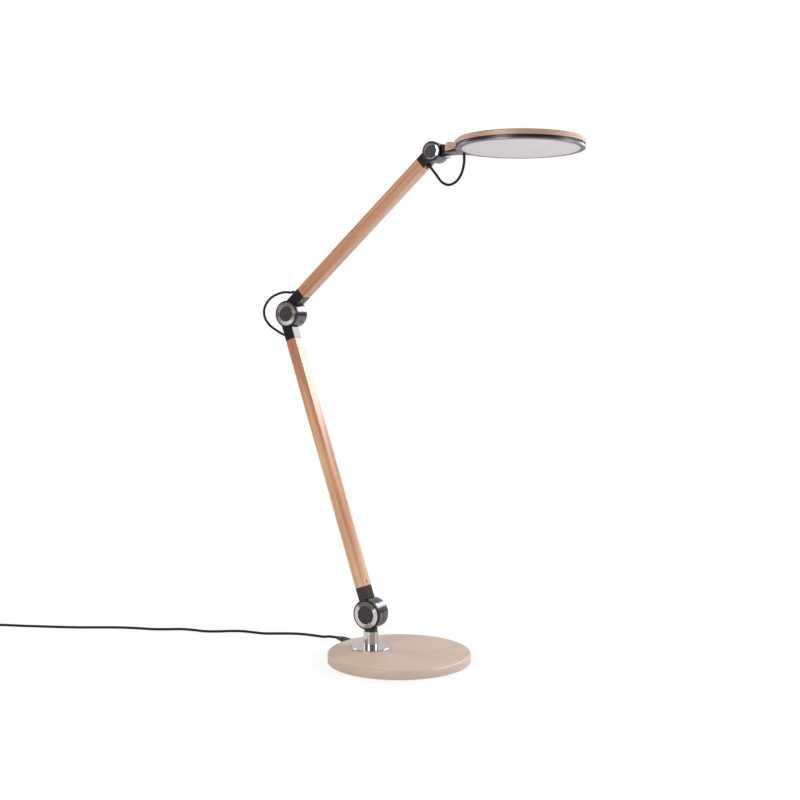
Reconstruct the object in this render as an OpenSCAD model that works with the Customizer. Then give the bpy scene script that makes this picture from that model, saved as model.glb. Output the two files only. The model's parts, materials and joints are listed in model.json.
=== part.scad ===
// Desk lamp with a round weighted base, two folding wooden arms and a flat round light head.
// The arms swing in the XZ plane. +X points from the post towards the head, +Z is up.
// The origin is the centre of the base on the table.

/* [Base] */
// Diameter of the base
base_d = 180; // [150:1:240]
// Height of the top of the base above the table
base_h = 12; // [11:0.5:18]
// Radius of the upper edge of the base cover
base_edge = 2.5; // [1:0.1:4]
// Thickness of the base cover
cover_t = 2; // [1.2:0.1:3]
// Thickness of the foot pad
pad_t = 1.5; // [1:0.1:2.5]
// Distance from the foot pad's edge to the base's edge
pad_inset = 7; // [4:0.5:20]
// Distance of the base screws from the base axis
screw_ring = 70; // [60:1:74]
// Bearing of the power socket in the base wall, from +X
jack_bearing = 162; // [150:1:176]

/* [Post] */
// Distance from the rear edge of the base to the post's axis
post_inset = 48.5; // [35:0.5:60]
// Diameter of the chrome flange
flange_d = 50; // [36:1:70]
// Thickness of the chrome flange
flange_t = 1.2; // [0.8:0.1:3]
// Diameter of the chrome post
post_d = 18.8; // [17:0.2:24]
// Height of the top of the post
post_top = 33; // [26:0.5:33]
// Diameter of the swivel stem that turns in the post
stem_d = 10; // [8:0.5:11]
// Diameter of the black collar under the shoulder joint
collar_d = 16.8; // [14:0.2:17]

/* [Arms] */
// Height of the shoulder pivot
shoulder_z = 55.5; // [55.5:0.5:70]
// Length of the lower arm from pivot to pivot
lower_len = 401; // [300:1:500]
// Backward lean of the lower arm from vertical
lower_lean = 18.7; // [10:0.1:30]
// Length of the upper arm from pivot to pivot
upper_len = 288; // [220:1:400]
// Rise of the upper arm above horizontal
upper_rise = 40.9; // [30:0.1:50]
// Side of the square wooden bars
bar_w = 15; // [14:0.1:16]
// Edge radius of the bars and fittings
bar_edge = 0.6; // [0.4:0.1:3]
// Chamfer at the ends of the bars
bar_chamfer = 0.6; // [0.2:0.1:1]
// Distance between the elbow pivot and both bar axes, which lets the arms fold side by side
elbow_offset = 7.5; // [5:0.1:7.5]
// Distance between the head pivot and the upper bar axis
head_offset = 2; // [0:0.1:2.5]
// Distance from the shoulder pivot to the lower bar's end
shoulder_reach = 35; // [32:0.5:45]
// Distance from the elbow pivot to both bars' ends
elbow_reach = 32; // [30:0.5:42]
// Distance from the head pivot to the upper bar's end
head_fit_reach = 21.6; // [20.5:0.1:30]
// Diameter of the spigots in the bar ends
spigot_d = 9; // [7:0.1:10]
// Length of the spigots in the bar ends
spigot_len = 18; // [12:0.5:30]
// Diameter of the cross pins in the bar ends
pin_d = 2.5; // [1.5:0.1:3]
// Distance of a cross pin from the bar's end
pin_inset = 6; // [4:0.1:9]

/* [Joints] */
// Radius of the shoulder barrel
shoulder_r = 19; // [18:0.1:20]
// Radius of the elbow barrel
elbow_r = 17; // [16.8:0.1:19]
// Radius of the head barrel
head_r = 12; // [11.8:0.1:13]
// Half length of every barrel
barrel_half = 10; // [9.5:0.1:12]
// Thickness of the polished barrel bands
band_t = 1.2; // [0.8:0.1:1.5]
// Thickness of the front caps
cap_t = 2; // [1.6:0.1:3]
// Width of the black edge around the chrome rings
cap_edge = 1.1; // [0.5:0.1:1.4]
// Slope of the chrome rings up to their centres
ring_slope = 0.2; // [0.05:0.01:0.25]
// Radius of the black centre of the shoulder cap
shoulder_insert_r = 11.3; // [9:0.1:13]
// Radius of the black centre of the elbow cap
elbow_insert_r = 9.8; // [8:0.1:12]
// Radius of the black centre of the head cap
head_insert_r = 7.6; // [6:0.1:9]
// Diameter of the shoulder and elbow pivot bolts
bolt_d = 6; // [5:0.5:7]
// Diameter of the head pivot bolt
head_bolt_d = 4; // [3:0.5:5]
// Thickness of the friction washers
washer_t = 0.5; // [0.3:0.1:1]

/* [Head] */
// Diameter of the light head
head_d = 150; // [140:1:200]
// Distance from the head pivot to the middle of the light head
head_reach = 112.5; // [110:0.5:160]
// Drop of the underside of the head below the head pivot
head_drop = 3.6; // [3:0.1:5]
// Forward pitch of the head at rest
head_pitch = 0.7; // [-2:0.1:3]
// Height of the metal head shell
shell_h = 6; // [5.5:0.1:9]
// Height of the shadow gap under the shell
gap_h = 2; // [1:0.1:3]
// Height of the grey bezel
bezel_h = 3; // [2.6:0.1:5]
// Wall of the head shell
shell_t = 1.6; // [1:0.1:2]
// Diameter of the lit panel
panel_d = 138; // [110:1:138]
// Half width of the neck where it meets the joint
neck_half = 9; // [8.5:0.1:12]
// Radius of the hollow curves between the neck and the round head
neck_fillet = 25; // [15:0.5:30]
// Rise of the shell's top towards the joint
neck_rise = 2.5; // [0.5:0.1:3]
// Drop of the neck's brow at the joint
neck_corner = 2.8; // [1:0.1:3.2]
// Length of the level part of the neck
neck_level = 6.5; // [5:0.1:9]
// Distance from the head pivot to the end of the neck
neck_start = 17.5; // [17:0.1:19]
// Number of light emitters on the board
led_count = 24; // [12:1:48]

/* [Leads] */
// Diameter of the arm leads
lead_d = 3.2; // [2.2:0.1:3.4]
// Height of the cable glands on the fittings
gland_h = 2.6; // [1.5:0.1:4]
// Distance of the elbow glands from the elbow pivot
elbow_gland = 22.5; // [21.5:0.1:26]
// Distance of the arm's head gland from the head pivot
head_gland = 16.6; // [16.4:0.1:17]
// Gap between the lead's hole in the head and the panel's ledge
entry_gap = 0.8; // [0.5:0.1:2]
// Depth of the loop under the head pivot
head_loop_drop = 40; // [34:0.5:60]
// Reach of the loop behind the elbow pivot
elbow_loop_reach = 43.5; // [40:0.5:60]
// Diameter of the supply lead
cord_d = 3.5; // [3:0.1:3.7]

/* [Coil] */
// Number of coil layers
coil_layers = 4; // [2:2:4]
// Turns in each layer
layer_turns = 2.5; // [1.5:0.5:4]
// Outer radius of the coil's centreline
coil_r = 25.2; // [24:0.1:30]
// Distance between neighbouring turns
coil_pitch = 4.1; // [4.1:0.1:5]
// Thickness of the coil tie
tie_t = 1; // [0.6:0.1:2]
// Width of the coil tie
tie_w = 7; // [4:0.5:12]

/* [Adapter] */
// Length of the plug-in adapter's body
adapter_len = 50; // [40:1:80]
// Width of the plug-in adapter's body
adapter_w = 28; // [24:1:40]
// Diameter of the adapter's pins
prong_d = 4; // [3:0.1:5]
// Length of the adapter's pins
prong_len = 19; // [12:0.5:22]
// Distance between the adapter's pins
prong_gap = 19; // [12:0.5:19]

/* [Hidden] */
$fn = 64;

// Clearances
run_fit = 0.05;
slip_fit = 0.1;
loose_fit = 0.3;
lap_gap = 0.4;

// Finishes
rose = "#c9ada0";
rose_metal = "#b89a88";
wood = "#be8c6b";
black = "#3a3338";
dark_metal = "#55525a";
chrome = "#d0ced3";
steel = "#a8a8ac";
grey = "#7a7680";
white = "#e4e0e6";
board_green = "#2f6b4a";
rubber = "#2c2b2d";

// Base heights
base_r = base_d / 2;
post_x = post_inset - base_r;
skirt_z = 1;
ballast_top = base_h - cover_t;
ballast_r = base_r - cover_t - loose_fit;
jack_z = (pad_t + ballast_top) / 2 + 0.5;
jack_w = 10;
jack_len = 13;
jack_nose_d = 7.4;
barrel_d = 5.5;
barrel_len = 9.5;
barrel_pin_d = 2;
boss_d = 7;
boss_h = 6;
base_screw_d = 3;
base_screw_head_d = 6;
base_screw_head_h = 2;
board_x = 10;
board_l = 34;
board_w = 22;
board_t = 1.6;
board_z = pad_t + 3.5;
slot_w = lead_d + 2 * loose_fit;

// Post and swivel heights
spigot_post_d = 12.4;
post_foot = pad_t + 2;
nut_across = 18;
nut_pocket_d = 24;
nut_web = 2;
clip_t = 0.8;
clip_d = 13;
clip_groove_d = stem_d - 1.2;
swivel_washer_t = 0.6;
collar_z = post_top + swivel_washer_t;
stem_foot = pad_t + 0.5;
stem_bore_d = lead_d + 1.2;

// Pivots in the XZ plane
lower_angle = 90 + lower_lean;
function turned(a, v) = [cos(a) * v[0] - sin(a) * v[1], sin(a) * v[0] + cos(a) * v[1]];
shoulder = [post_x, shoulder_z];
elbow = shoulder + turned(lower_angle, [lower_len, -elbow_offset]);
wrist = elbow + turned(upper_rise, [upper_len, elbow_offset - head_offset]);

// Fits of the arm pieces
half_w = bar_w / 2;
lead_bore_d = lead_d + 2 * loose_fit;
gland_d = lead_d + 3.2;
spigot_bore_d = spigot_d + 2 * slip_fit;
pin_bore_d = pin_d + 2 * slip_fit;
pin_tip = lead_bore_d / 2 + loose_fit;

// Levels in the head, from the head pivot
under_z = -head_drop;
plate_z = under_z + bezel_h;
shell_z = plate_z + gap_h;
top_z = shell_z + shell_h;
flange_inset = shell_t + 0.2;
flange_wall = 2.5;
flange_top = shell_z + 1.5;
panel_lip = 1;
panel_ledge = 2;
head_entry = head_reach - panel_d / 2 - panel_ledge - entry_gap - lead_bore_d / 2;
guide_t = 3;
led_board_t = 1.6;
led_size = [1.5, 3, 1];
tongue_len = 17;
tongue_half = neck_half - shell_t - 0.9;
tongue_h = 5;
neck_screw_x = neck_start + 5.1;
neck_screw_d = 3;
neck_screw_head_d = 5.4;
neck_screw_head_h = 1.4;
neck_screw_sink = 1.8;

// Supply plug, lead and coil
plug_grip_d = 8;
relief_d = 6.4;
relief_wall = 0.5;
relief_slot = 1;
rib_pitch = 2.6;
plug_grip_len = 26;
plug_relief_len = 7;
plug_end = base_r + plug_grip_len + plug_relief_len;
coil_centre = [-592, -164];
coil_bearing = 118;
coil_z = cord_d / 2 + tie_t + loose_fit;
coil_turns = coil_layers * layer_turns;
coil_step = coil_pitch;
rings_per_turn = 24;
coil_top = coil_z + (coil_layers - 1) * coil_step;
coil_inner = coil_r - layer_turns * coil_pitch;
adapter_relief_len = 22;
adapter_h = 2 * coil_top;
adapter_edge = 4;

// Frames: x runs along a bar in the XZ plane, y lies across it in that plane, z points to the front (-Y)
module arm_plane(pivot, angle) {
  translate([pivot[0], 0, pivot[1]]) rotate([90, 0, 0]) rotate([0, 0, angle]) children();
}
module lower_frame() {
  arm_plane(shoulder, lower_angle) children();
}
module upper_frame() {
  arm_plane(elbow, upper_rise) translate([0, elbow_offset, 0]) children();
}
module lower_top_frame() {
  lower_frame() translate([lower_len, 0, 0]) rotate([0, 0, 180]) children();
}
module upper_top_frame() {
  upper_frame() translate([upper_len, 0, 0]) rotate([0, 0, 180]) children();
}
module radial_frame(bearing, r, z) {
  rotate([0, 0, bearing]) translate([r, 0, z]) rotate([0, 90, 0]) children();
}

// Shared shapes
module rounded_square(w, h, r) {
  square([w - 2 * r, h], center = true);
  square([w, h - 2 * r], center = true);
  for (sx = [-1, 1], sy = [-1, 1])
    translate([sx * (w / 2 - r), sy * (h / 2 - r)]) circle(r);
}
module bar_solid(x0, x1) {
  translate([x0, 0, 0]) rotate([90, 0, 90])
    linear_extrude(x1 - x0) rounded_square(bar_w, bar_w, bar_edge);
}
module rod(x0, x1, d) {
  translate([x0, 0, 0]) rotate([0, 90, 0]) cylinder(d = d, h = x1 - x0);
}
module cross_rod(x, y0, y1, d) {
  translate([x, y1, 0]) rotate([90, 0, 0]) cylinder(d = d, h = y1 - y0);
}
// Half of a barrel, in front (side 1) or behind (side -1) of the arm plane
module half_barrel(r, side, from, to) {
  if (side > 0) translate([0, 0, from]) cylinder(r = r, h = to - from);
  else translate([0, 0, -to]) cylinder(r = r, h = to - from);
}

// Sizes of the bolt, its head and its nut, from the bolt's diameter
function head_size(d) = 2 * d - 0.4;
function head_height(d) = 0.55 * d;
function nut_size(d) = 1.75 * d;
function nut_height(d) = 0.75 * d;
function nut_pocket(d) = nut_size(d) / cos(30) + 2 * loose_fit;
function head_seat(d) = barrel_half - head_height(d) - 1.5;
function nut_seat(d) = barrel_half - nut_height(d) - 1;
function ring_rise(r, insert_r) = ring_slope * (r - cap_edge - insert_r);

// Holes for the bolt: a counterbore for its head in a front eye, a pocket for its nut in a rear eye
module bolt_holes(d, side) {
  translate([0, 0, -2 * barrel_half]) cylinder(d = d + 2 * run_fit, h = 4 * barrel_half);
  if (side > 0) translate([0, 0, head_seat(d)]) cylinder(d = head_size(d) + 2 * slip_fit, h = barrel_half);
  else translate([0, 0, -nut_seat(d) - barrel_half]) cylinder(d = nut_pocket(d), h = barrel_half);
}
// Space that the other half of a barrel turns in
module partner_space(r, side) {
  half_barrel(r + lap_gap, -side, -washer_t / 2, 2 * barrel_half);
}

// End fitting of a bar: half a barrel's eye, a square block, a gland and a spigot for the bar.
// The eye lies eye_y off the bar's axis, and the gland stands on the gland_side of the block.
module end_fitting(r, eye_y, reach, side, d, gland_x, gland_side) {
  difference() {
    union() {
      translate([0, eye_y, 0]) half_barrel(r - band_t - slip_fit, side, washer_t / 2, barrel_half);
      difference() {
        bar_solid(0, reach);
        translate([0, eye_y, 0]) partner_space(r, side);
      }
      rod(reach - 1, reach + spigot_len, spigot_d);
      if (gland_side != 0)
        mirror([0, gland_side > 0 ? 0 : 1, 0]) cross_rod(gland_x, half_w - 1, half_w + gland_h, gland_d);
    }
    translate([0, eye_y, 0]) bolt_holes(d, side);
    rod(gland_x, reach + spigot_len + 1, lead_bore_d);
    if (gland_side != 0)
      mirror([0, gland_side > 0 ? 0 : 1, 0]) cross_rod(gland_x, 0, half_w + gland_h + 1, lead_bore_d);
  }
}
// Blind hole in a spigot for the cross pin
module pin_socket(x, pin_side) {
  mirror([0, pin_side > 0 ? 0 : 1, 0]) cross_rod(x, pin_tip, half_w, pin_bore_d);
}
// Way through a barrel band for the block of its own fitting
module neck_window(half, depth) {
  translate([0, -half - slip_fit, -depth - slip_fit])
    cube([4 * barrel_half, 2 * (half + slip_fit), 2 * (depth + slip_fit)]);
}
// Polished band around the front eye
module front_band(r, eye_y, half, depth) {
  difference() {
    translate([0, eye_y, 0]) difference() {
      half_barrel(r, 1, washer_t / 2 + slip_fit, barrel_half);
      half_barrel(r - band_t, 1, 0, 2 * barrel_half);
    }
    neck_window(half, depth);
  }
}
// Polished cup around the rear eye, closed behind the nut
module rear_shell(r, eye_y, half, depth) {
  difference() {
    translate([0, eye_y, 0]) difference() {
      half_barrel(r, -1, washer_t / 2 + slip_fit, barrel_half + band_t);
      half_barrel(r - band_t, -1, 0, barrel_half);
    }
    neck_window(half, depth);
  }
}
// Black front cap with an edge, a groove for the chrome ring and a spigot over the bolt head
module front_cap(r, insert_r, d) {
  floor_z = barrel_half + cap_t / 2;
  centre_z = barrel_half + cap_t + ring_rise(r, insert_r) - 0.5;
  rotate_extrude() polygon([
    [0, head_seat(d) + head_height(d) + loose_fit],
    [head_size(d) / 2, head_seat(d) + head_height(d) + loose_fit],
    [head_size(d) / 2, barrel_half],
    [r, barrel_half],
    [r, barrel_half + cap_t - 0.3],
    [r - 0.3, barrel_half + cap_t],
    [r - cap_edge, barrel_half + cap_t],
    [r - cap_edge, floor_z],
    [insert_r, floor_z],
    [insert_r, centre_z - 0.4],
    [insert_r - 0.5, centre_z],
    [0, centre_z]
  ]);
}
// Coned chrome ring in the cap's groove
module cap_ring(r, insert_r) {
  outer = r - cap_edge - run_fit;
  inner = insert_r + run_fit;
  edge_z = barrel_half + cap_t;
  crest_z = edge_z + ring_rise(r, insert_r);
  rotate_extrude() polygon([
    [inner, barrel_half + cap_t / 2],
    [outer, barrel_half + cap_t / 2],
    [outer, edge_z],
    [outer - 0.3, edge_z + 0.2],
    [inner + 0.3, crest_z],
    [inner, crest_z - 0.3]
  ]);
}
module friction_washer(r, d) {
  difference() {
    translate([0, 0, -washer_t / 2]) cylinder(r = r - band_t - 1, h = washer_t);
    cylinder(d = d + 2 * slip_fit, h = 4 * barrel_half, center = true);
  }
}
module pivot_bolt(d) {
  translate([0, 0, -barrel_half + 0.3]) cylinder(d = d, h = barrel_half + head_seat(d));
  difference() {
    translate([0, 0, head_seat(d)]) cylinder(d = head_size(d), h = head_height(d));
    translate([0, 0, head_seat(d) + head_height(d) / 2]) cylinder(d = d, h = d, $fn = 6);
  }
}
module pivot_nut(d) {
  difference() {
    translate([0, 0, -nut_seat(d) - nut_height(d)])
      cylinder(d = nut_size(d) / cos(30), h = nut_height(d), $fn = 6);
    cylinder(d = d + 2 * run_fit, h = 4 * barrel_half, center = true);
  }
}

// Tubes along a path of points
function unit(v) = v / norm(v);
function blend_point(a, b, c, d, t) =
  0.5 * (2 * b + (c - a) * t + (2 * a - 5 * b + 4 * c - d) * t * t + (3 * b - a - 3 * c + d) * t * t * t);
function smooth_path(p, n) = [
  for (i = [0 : len(p) - 2], k = [0 : n - 1])
    blend_point(p[max(i - 1, 0)], p[i], p[i + 1], p[min(i + 2, len(p) - 1)], k / n),
  p[len(p) - 1]
];
function path_length(p) = len(p) < 2 ? 0 : total([for (i = [1 : len(p) - 1]) norm(p[i] - p[i - 1])]);
function total(v) = v * [for (x = v) 1];
function heading(p, i) = unit(p[min(i + 1, len(p) - 1)] - p[max(i - 1, 0)]);
module tube(path, d, sides, up) {
  n = len(path);
  points = [
    for (i = [0 : n - 1])
      let (t = heading(path, i), s = unit(cross(t, up)), u = cross(s, t))
        for (k = [0 : sides - 1])
          path[i] + d / 2 * (cos(360 * k / sides) * s + sin(360 * k / sides) * u)
  ];
  walls = [
    for (i = [0 : n - 2], k = [0 : sides - 1])
      let (a = i * sides + k, b = i * sides + (k + 1) % sides)
        each [[a, b, b + sides], [a, b + sides, a + sides]]
  ];
  first_cap = [for (k = [1 : sides - 2]) [0, k + 1, k]];
  last = (n - 1) * sides;
  last_cap = [for (k = [1 : sides - 2]) [last, last + k, last + k + 1]];
  polyhedron(points = points, faces = concat(walls, first_cap, last_cap));
}

// Base pieces
module foot_pad() {
  color(rubber) cylinder(d = base_d - 2 * pad_inset, h = pad_t);
}
module screw_places() {
  for (a = [45 : 90 : 315]) rotate([0, 0, a]) translate([screw_ring, 0, 0]) children();
}
module ballast_plate() {
  color(steel) difference() {
    translate([0, 0, pad_t]) cylinder(r = ballast_r, h = ballast_top - pad_t);
    screw_places() {
      translate([0, 0, ballast_top - boss_h - loose_fit]) cylinder(d = boss_d + 2 * loose_fit, h = base_h);
      cylinder(d = base_screw_d + 2 * loose_fit, h = base_h);
      cylinder(d = base_screw_head_d + 2 * loose_fit, h = pad_t + base_screw_head_h);
    }
    rotate([0, 0, jack_bearing]) {
      translate([base_r - cover_t - jack_len - loose_fit, -jack_w / 2 - loose_fit, 0])
        cube([jack_len + cover_t, jack_w + 2 * loose_fit, base_h]);
    }
    translate([board_x - loose_fit, -board_w / 2 - loose_fit, board_z])
      cube([board_l + 2 * loose_fit, board_w + 2 * loose_fit, base_h]);
    lead_run(slot_w, base_h);
    translate([post_x, 0, 0]) {
      cylinder(d = spigot_post_d + 2 * loose_fit, h = base_h);
      cylinder(d = nut_pocket_d, h = ballast_top - nut_web);
    }
  }
}
// Ends of the lead in the base: behind the socket and at the board
lead_from = (base_r - cover_t - jack_len) * [cos(jack_bearing), sin(jack_bearing)];
lead_to = [board_x, board_w / 2 - 4];
module lead_run(w, h) {
  run = lead_to - lead_from;
  translate([lead_from[0], lead_from[1], board_z]) rotate([0, 0, atan2(run[1], run[0])])
    translate([0, -w / 2, 0]) cube([norm(run), w, h]);
}
module base_cover() {
  color(rose) difference() {
    union() {
      difference() {
        rotate_extrude() {
          translate([0, skirt_z]) square([base_r - base_edge, base_h - skirt_z]);
          translate([0, skirt_z]) square([base_r, base_h - base_edge - skirt_z]);
          translate([base_r - base_edge, base_h - base_edge]) circle(base_edge);
        }
        cylinder(r = base_r - cover_t, h = ballast_top);
      }
      screw_places() translate([0, 0, ballast_top - boss_h]) cylinder(d = boss_d, h = boss_h + cover_t / 2);
    }
    screw_places() translate([0, 0, ballast_top - boss_h - 1]) cylinder(d = base_screw_d, h = boss_h);
    translate([post_x, 0, 0]) cylinder(d = spigot_post_d + 2 * slip_fit, h = 2 * base_h);
    radial_frame(jack_bearing, base_r - 2 * cover_t, jack_z)
      cylinder(d = jack_nose_d + 2 * slip_fit, h = 4 * cover_t);
  }
}
module base_screws() {
  color(steel) screw_places() {
    translate([0, 0, pad_t]) cylinder(d = base_screw_head_d, h = base_screw_head_h);
    translate([0, 0, pad_t]) cylinder(d = base_screw_d - 2 * run_fit, h = ballast_top - pad_t - 2);
  }
}
module dc_jack() {
  color(black) difference() {
    union() {
      rotate([0, 0, jack_bearing]) intersection() {
        translate([base_r - cover_t - jack_len, -jack_w / 2, pad_t])
          cube([jack_len, jack_w, ballast_top - pad_t]);
        cylinder(r = base_r - cover_t - loose_fit, h = base_h);
      }
      radial_frame(jack_bearing, base_r - cover_t - 2, jack_z) cylinder(d = jack_nose_d, h = cover_t + 1.9);
    }
    radial_frame(jack_bearing, base_r - barrel_len - 1, jack_z) difference() {
      cylinder(d = barrel_d + 2 * slip_fit, h = 2 * barrel_len);
      cylinder(d = barrel_pin_d, h = barrel_len);
    }
  }
}
module touch_board() {
  color(board_green) {
    translate([board_x, -board_w / 2, board_z]) cube([board_l, board_w, board_t]);
    for (x = [board_l / 4, board_l / 2]) translate([board_x + x, -8, board_z]) cube([6, 8, board_t + 1.4]);
    translate([board_x + board_l - 7, 0, board_z]) cylinder(d = 5, h = ballast_top - board_z);
  }
}
module base_lead() {
  color(rubber) {
    run = lead_to - lead_from;
    reach = norm(run) - loose_fit;
    translate([lead_from[0], lead_from[1], board_z + lead_d / 2]) rotate([0, 0, atan2(run[1], run[0])])
      rod(loose_fit, reach, lead_d);
    translate([post_x, 0, pad_t]) cylinder(d = lead_d, h = shoulder_z - shoulder_r - pad_t - 1.5);
  }
}

// Post and swivel
module post_flange() {
  color(chrome) translate([post_x, 0, base_h]) difference() {
    rotate_extrude() polygon([
      [0, 0], [flange_d / 2, 0], [flange_d / 2, flange_t - 0.4],
      [flange_d / 2 - 0.4, flange_t], [0, flange_t]
    ]);
    cylinder(d = spigot_post_d + 2 * slip_fit, h = 4 * flange_t, center = true);
  }
}
module post() {
  color(chrome) translate([post_x, 0, 0]) difference() {
    union() {
      translate([0, 0, base_h + flange_t]) cylinder(d = post_d, h = post_top - base_h - flange_t);
      translate([0, 0, post_foot]) cylinder(d = spigot_post_d, h = base_h);
    }
    cylinder(d = stem_d + 2 * run_fit, h = 2 * post_top);
  }
}
module post_nut() {
  color(steel) translate([post_x, 0, post_foot + 0.2]) difference() {
    cylinder(d = nut_across / cos(30), h = ballast_top - nut_web - post_foot - 0.2, $fn = 6);
    cylinder(d = spigot_post_d + 2 * run_fit, h = 2 * base_h, center = true);
  }
}
module swivel_washer() {
  color(black) translate([post_x, 0, post_top]) difference() {
    cylinder(d = collar_d, h = swivel_washer_t);
    cylinder(d = stem_d + 2 * slip_fit, h = 4 * swivel_washer_t, center = true);
  }
}
module spindle_clip() {
  color(steel) translate([post_x, 0, post_foot - clip_t - 0.2]) difference() {
    cylinder(d = clip_d, h = clip_t);
    cylinder(d = clip_groove_d + 2 * run_fit, h = 4 * clip_t, center = true);
  }
}
module shoulder_knuckle() {
  color(black) difference() {
    union() {
      arm_plane(shoulder, 0) half_barrel(shoulder_r - band_t - slip_fit, -1, washer_t / 2, barrel_half);
      difference() {
        translate([post_x, 0, collar_z]) cylinder(d = collar_d, h = shoulder_z - collar_z);
        arm_plane(shoulder, 0) partner_space(shoulder_r, -1);
      }
      translate([post_x, 0, stem_foot]) cylinder(d = stem_d, h = collar_z - stem_foot);
    }
    arm_plane(shoulder, 0) bolt_holes(bolt_d, -1);
    translate([post_x, 0, 0]) {
      cylinder(d = stem_bore_d, h = shoulder_z - shoulder_r);
      translate([0, 0, post_foot - clip_t - 0.2]) difference() {
        cylinder(d = 2 * stem_d, h = clip_t + 0.2);
        cylinder(d = clip_groove_d, h = 4 * clip_t, center = true);
      }
    }
  }
}

// Shoulder joint
module shoulder_rear_shell() {
  color(dark_metal) arm_plane(shoulder, -90) rear_shell(shoulder_r, 0, collar_d / 2, collar_d / 2);
}
module shoulder_washer() {
  color(steel) arm_plane(shoulder, 0) friction_washer(shoulder_r, bolt_d);
}
module shoulder_front_band() {
  color(dark_metal) lower_frame() front_band(shoulder_r, 0, half_w, half_w);
}
module shoulder_cap() {
  color(black) arm_plane(shoulder, 0) front_cap(shoulder_r, shoulder_insert_r, bolt_d);
}
module shoulder_ring() {
  color(chrome) arm_plane(shoulder, 0) cap_ring(shoulder_r, shoulder_insert_r);
}
module shoulder_bolt() {
  color(steel) arm_plane(shoulder, 0) pivot_bolt(bolt_d);
}
module shoulder_nut() {
  color(steel) arm_plane(shoulder, 0) pivot_nut(bolt_d);
}

// Arms: a bar bored for the lead between two spigots, held by cross pins on the side that faces the head
module trimmed_ends(x0, x1) {
  inset = half_w - bar_chamfer;
  linear_extrude(2 * bar_w, center = true) polygon([
    [x0, -inset], [x0 + bar_chamfer, -half_w], [x1 - bar_chamfer, -half_w], [x1, -inset],
    [x1, inset], [x1 - bar_chamfer, half_w], [x0 + bar_chamfer, half_w], [x0, inset]
  ]);
}
module arm_bar(x0, x1) {
  difference() {
    intersection() {
      bar_solid(x0, x1);
      trimmed_ends(x0, x1);
      rotate([90, 0, 0]) trimmed_ends(x0, x1);
    }
    rod(x0 - 1, x1 + 1, lead_bore_d);
    rod(x0 - 1, x0 + spigot_len + loose_fit, spigot_bore_d);
    rod(x1 - spigot_len - loose_fit, x1 + 1, spigot_bore_d);
    for (x = [x0 + pin_inset, x1 - pin_inset])
      cross_rod(x, -half_w - 1, 0, pin_bore_d);
  }
}
module arm_pins(x0, x1) {
  for (x = [x0 + pin_inset, x1 - pin_inset]) cross_rod(x, -half_w, -pin_tip - slip_fit, pin_d);
}
module lower_foot_fitting() {
  color(black) lower_frame() difference() {
    end_fitting(shoulder_r, 0, shoulder_reach, 1, bolt_d, shoulder_r + 4, 0);
    pin_socket(shoulder_reach + pin_inset, -1);
  }
}
module lower_bar() {
  color(wood) lower_frame() arm_bar(shoulder_reach, lower_len - elbow_reach);
}
module lower_top_fitting() {
  color(black) lower_top_frame() difference() {
    end_fitting(elbow_r, elbow_offset, elbow_reach, -1, bolt_d, elbow_gland, -1);
    pin_socket(elbow_reach + pin_inset, 1);
  }
}
module lower_bar_pins() {
  color(steel) lower_frame() arm_pins(shoulder_reach, lower_len - elbow_reach);
}
module lower_lead() {
  color(rubber) lower_frame() rod(shoulder_r + 4 + loose_fit, lower_len - elbow_gland - lead_d, lead_d);
}

// Elbow joint
module elbow_rear_shell() {
  color(dark_metal) lower_top_frame() rear_shell(elbow_r, elbow_offset, half_w, half_w);
}
module elbow_washer() {
  color(steel) arm_plane(elbow, 0) friction_washer(elbow_r, bolt_d);
}
module elbow_front_band() {
  color(dark_metal) upper_frame() front_band(elbow_r, -elbow_offset, half_w, half_w);
}
module elbow_cap() {
  color(black) arm_plane(elbow, 0) front_cap(elbow_r, elbow_insert_r, bolt_d);
}
module elbow_ring() {
  color(chrome) arm_plane(elbow, 0) cap_ring(elbow_r, elbow_insert_r);
}
module elbow_bolt() {
  color(steel) arm_plane(elbow, 0) pivot_bolt(bolt_d);
}
module elbow_nut() {
  color(steel) arm_plane(elbow, 0) pivot_nut(bolt_d);
}
module upper_foot_fitting() {
  color(black) upper_frame() difference() {
    end_fitting(elbow_r, -elbow_offset, elbow_reach, 1, bolt_d, elbow_gland, 1);
    pin_socket(elbow_reach + pin_inset, -1);
  }
}
module upper_bar() {
  color(wood) upper_frame() arm_bar(elbow_reach, upper_len - head_fit_reach);
}
module upper_top_fitting() {
  color(black) upper_top_frame() difference() {
    end_fitting(head_r, head_offset, head_fit_reach, -1, head_bolt_d, head_gland, 1);
    pin_socket(head_fit_reach + pin_inset, 1);
  }
}
module upper_bar_pins() {
  color(steel) upper_frame() arm_pins(elbow_reach, upper_len - head_fit_reach);
}
module upper_lead() {
  color(rubber) upper_frame() rod(elbow_gland + lead_d, upper_len - head_gland - lead_d, lead_d);
}

// Head joint
module head_rear_shell() {
  color(dark_metal) upper_top_frame() rear_shell(head_r, head_offset, half_w, half_w);
}
module head_washer() {
  color(steel) arm_plane(wrist, 0) friction_washer(head_r, head_bolt_d);
}
module head_front_band() {
  color(dark_metal) arm_plane(wrist, 0) front_band(head_r, 0, half_w, half_w);
}
module head_cap() {
  color(black) arm_plane(wrist, 0) front_cap(head_r, head_insert_r, head_bolt_d);
}
module head_ring() {
  color(chrome) arm_plane(wrist, 0) cap_ring(head_r, head_insert_r);
}
module head_bolt() {
  color(steel) arm_plane(wrist, 0) pivot_bolt(head_bolt_d);
}
module head_nut() {
  color(steel) arm_plane(wrist, 0) pivot_nut(head_bolt_d);
}

// Light head
module head_frame() {
  translate([wrist[0], 0, wrist[1]]) rotate([0, head_pitch, 0]) children();
}
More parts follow.
